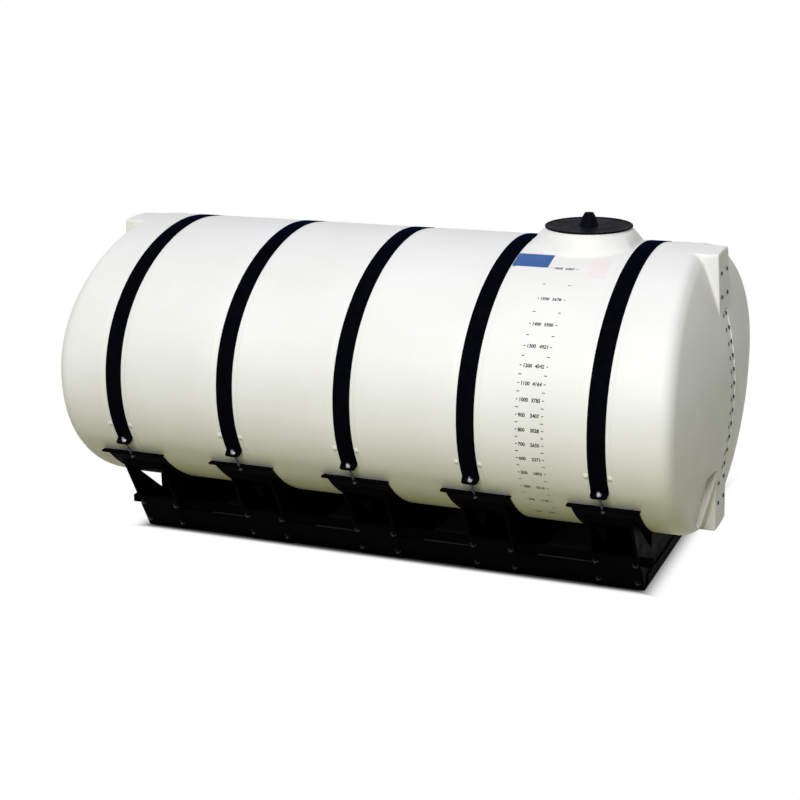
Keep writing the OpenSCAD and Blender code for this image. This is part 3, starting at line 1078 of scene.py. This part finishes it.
def zinc(name, dark, light, threads=False):
    """Cloudy zinc plate between two greys. Tie rods have threads, and are a darker blue-grey below the
    tabs.
    """
    n = Look(name)
    cloud = n.noise(60.0)
    colour = n.mix(n.span(cloud, 0.35, 0.65), (dark, dark, dark * 1.05, 1), (light, light, light * 1.05, 1))
    rough = n.span(cloud, 0.3, 0.7, 0.24, 0.4)
    normal = n.bump(n.noise(500.0), 0.1, 0.0003)
    if threads:
        split = n.split(n.place)
        zinc_share_at_tab = n.span(split["Z"], ROD_TOP.z - 8 * MM, ROD_TOP.z)
        # Below the tabs the rods are coloured a darker blue-grey
        colour = n.mix(zinc_share_at_tab, (0.07, 0.08, 0.1, 1), colour)
        normal = n.bump(thread_wave(n, split), 0.5, 0.0006, normal)
    return n.finish(Base_Color=colour, Roughness=rough, Normal=normal, Metallic=1.0)


def printed(name, low, high, roughness=0.5):
    """Ink, plastic film or the painted shade of a hole, with a little mottling."""
    n = Look(name)
    colour = n.mix(n.span(n.noise(90.0), 0.3, 0.7), low, high)
    rough = n.span(n.noise(50.0), 0.3, 0.7, roughness - 0.06, roughness + 0.06)
    normal = n.bump(n.noise(250.0), 0.05, 0.0003)
    return n.finish(Base_Color=colour, Roughness=rough, Normal=normal, Specular_IOR_Level=0.3)


# ---- Build the pieces ----

poly = polyethylene()
plastic = black_plastic()
coat = band_coat()
paint = skid_paint()
rod_zinc = zinc("threaded_zinc", 0.42, 0.68, threads=True)
bolt_zinc = zinc("grimy_zinc", 0.006, 0.02)
ink = printed("scale_ink", (0.012, 0.013, 0.015, 1), (0.03, 0.031, 0.034, 1))
blue_film = printed("blue_film", (0.008, 0.075, 0.27, 1), (0.011, 0.09, 0.31, 1), 0.45)
pale_film = printed("pale_film", (0.84, 0.75, 0.745, 1), (0.86, 0.78, 0.775, 1), 0.45)
# Painted shade: near-black colour for the discs that stand in for the shade inside the ends' holes
hole_shade_black = printed("painted_hole_shade", (0.022, 0.024, 0.03, 1), (0.034, 0.037, 0.045, 1), 0.7)

shell = make_tank_shell()
open_ends(shell)
finish_piece(shell, "base", poly)
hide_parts("tank_barrel", "tank_end_left", "tank_end_right")
for strip_name, end_side in (("end_strip_left", -1), ("end_strip_right", 1)):
    finish_piece(make_end_strip(strip_name, end_side), "base", poly)
for pocket_name, end_side in (("outlet_pocket_left", -1), ("outlet_pocket_right", 1)):
    finish_piece(make_pocket(pocket_name, end_side), "base", poly)

collar = finish_piece(make_fill_collar(), "base", poly)
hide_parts("fill_collar")
lid = finish_piece(make_lid(), "lid_body", plastic)
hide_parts("lid")
vent = finish_piece(make_vent(), "lid_body", plastic)
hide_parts("lid_vent")

strap_line = band_line()
for i, band_x in enumerate(BAND_X, start=1):
    strap = finish_piece(make_band(f"strap_{i}", band_x, strap_line), "base", coat)
    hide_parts(f"band_{i}")

for bolts_name, bolts_side in (("skid_bolts_near", -1), ("skid_bolts_far", 1)):
    finish_piece(make_bolts(bolts_name, bolts_side), "base", bolt_zinc)

finish_piece(make_groove_ends("groove_ends"), "base", poly)
finish_piece(make_scale(), "base", ink)
blue_plate = make_plate("blue_plate", 662 * MM, top=656.5 * MM, width=176 * MM, height=124 * MM)
finish_piece(blue_plate, "base", blue_film)
pale_plate = make_plate(
    "pale_plate", 1027 * MM, top=655 * MM, width=90 * MM, height=176 * MM, slant=10 * MM
)
finish_piece(pale_plate, "base", pale_film)
# Painted shade: dark discs where the holes in the ends are
for hole_shades_name, hole_shades_side in (("end_hole_shades_left", -1), ("end_hole_shades_right", 1)):
    finish_piece(make_plugs(hole_shades_name, hole_shades_side), "base", hole_shade_black)

for name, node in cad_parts.items():
    if name.startswith("tie_rods"):
        look = rod_zinc
    elif name.startswith(("saddle", "rail", "stringer", "end_beam")):
        look = paint
    else:
        continue
    node.data.materials.clear()
    node.data.materials.append(look)


# ---- Floor, light and camera ----


def seen_or_lit(n, seen_shader, lighting_shader):
    """One shader for camera, glossy and transmission rays, and another for all other rays."""
    path = n.add("ShaderNodeLightPath").outputs
    seen = n.math("MAXIMUM", path["Is Camera Ray"], path["Is Glossy Ray"])
    seen = n.math("MAXIMUM", seen, path["Is Transmission Ray"])
    return n.shader("ShaderNodeMixShader", {0: seen, 1: lighting_shader, 2: seen_shader})


def make_floor():
    """Wide white floor. Under the skid and behind it lies a dark patch of painted shadow, which also takes
    the real shadow.
    """
    half = 60.0
    end_overlap = 60 * MM
    behind_from = 450 * MM
    # On each side, the painted shadow fades out over this width divided by that side's pace
    fade_width = 0.1
    front_pace = 1.6
    back_pace = 0.1
    end_pace = 0.6
    corners = [(-half, -half, 0), (half, -half, 0), (half, half, 0), (-half, half, 0)]
    floor = mesh_object("floor", corners, [(0, 1, 2, 3)])
    material = bpy.data.materials.new("floor_white")
    material.use_nodes = True
    n = Nodes(material.node_tree)
    n.tree.nodes.remove(n.tree.nodes["Principled BSDF"])

    place = n.split(n.add("ShaderNodeNewGeometry").outputs["Position"])
    past_end = n.math("SUBTRACT", n.math("ABSOLUTE", place["X"]), SKID_LENGTH_HALF - end_overlap)
    in_front = n.math("SUBTRACT", -FOOT_HALF, place["Y"])
    behind = n.math("SUBTRACT", place["Y"], behind_from)
    outside = n.math("MULTIPLY", in_front, front_pace)
    outside = n.math("MAXIMUM", outside, n.math("MULTIPLY", behind, back_pace))
    outside = n.math("MAXIMUM", outside, n.math("MULTIPLY", past_end, end_pace))
    fade = n.span(outside, 0.0, fade_width, interpolation_type="SMOOTHERSTEP")
    # Painted shadow: a dark floor colour under and behind the skid, which also takes the real shadow
    dark = n.shader("ShaderNodeBsdfDiffuse", {"Color": (0.07, 0.07, 0.063, 1)})
    white = n.shader("ShaderNodeEmission", {"Color": (1, 1, 1, 1), "Strength": 1.0})
    seen = n.shader("ShaderNodeMixShader", {0: fade, 1: dark, 2: white})
    # Light thrown back from the floor is warm
    bounce = n.shader("ShaderNodeBsdfDiffuse", {"Color": (0.23, 0.235, 0.06, 1)})
    n.set(n.tree.nodes["Material Output"], "Surface", seen_or_lit(n, seen, bounce))
    floor.data.materials.append(material)


def make_world():
    """White backdrop; for lighting, a soft sky that is bluer overhead and dimmer towards +X."""
    world = bpy.data.worlds.new("studio")
    bpy.context.scene.world = world
    world.use_nodes = True
    n = Nodes(world.node_tree)
    n.tree.nodes.clear()
    direction = n.split(n.add("ShaderNodeTexCoord").outputs["Generated"])
    colour = n.mix(direction["Z"], (0.40, 0.40, 0.38, 1), (0.52, 0.53, 0.62, 1))
    strength = n.span(direction["X"], -0.1, 0.9, 1.0, 0.3)
    sky = n.shader("ShaderNodeBackground", {"Color": colour, "Strength": strength})
    white = n.shader("ShaderNodeBackground", {"Color": (1, 1, 1, 1), "Strength": 1.0})
    n.add("ShaderNodeOutputWorld", {"Surface": seen_or_lit(n, white, sky)})


def area_light(name, place, target, size, power, colour):
    """Square lamp at a place, turned to a target."""
    data = bpy.data.lights.new(name, "AREA")
    data.shape = "SQUARE"
    data.size = size
    data.energy = power
    data.color = colour
    light = bpy.data.objects.new(name, data)
    light.location = place
    light.rotation_euler = (Vector(target) - Vector(place)).to_track_quat("-Z", "Y").to_euler()
    bpy.context.scene.collection.objects.link(light)


def make_camera():
    """Camera in front of the tank and to its right, looking slightly down."""
    place = Vector((3.173, -7.756, 3.220))
    yaw = 0.3963
    pitch = 0.2927
    roll = -0.0217
    forward = Vector((-math.sin(yaw) * math.cos(pitch), math.cos(yaw) * math.cos(pitch), -math.sin(pitch)))
    level = Vector((math.cos(yaw), math.sin(yaw), 0))
    upright = level.cross(forward)
    right = level * math.cos(roll) + upright * math.sin(roll)
    up = upright * math.cos(roll) - level * math.sin(roll)
    data = bpy.data.cameras.new("camera")
    data.sensor_width = 36
    data.lens = 76.2525
    data.clip_end = 200
    camera = bpy.data.objects.new("camera", data)
    turn = Matrix((right, up, -forward)).transposed()
    camera.matrix_world = Matrix.Translation(place) @ turn.to_4x4()
    bpy.context.scene.collection.objects.link(camera)
    bpy.context.scene.camera = camera


make_floor()
make_world()
area_light("key", (2.2, -9.5, 8.9), target=(0, 0, 0.9), size=5.0, power=1190, colour=(1.0, 0.997, 0.985))
make_camera()
bpy.context.scene.view_settings.view_transform = "Standard"

bpy.context.view_layer.update()
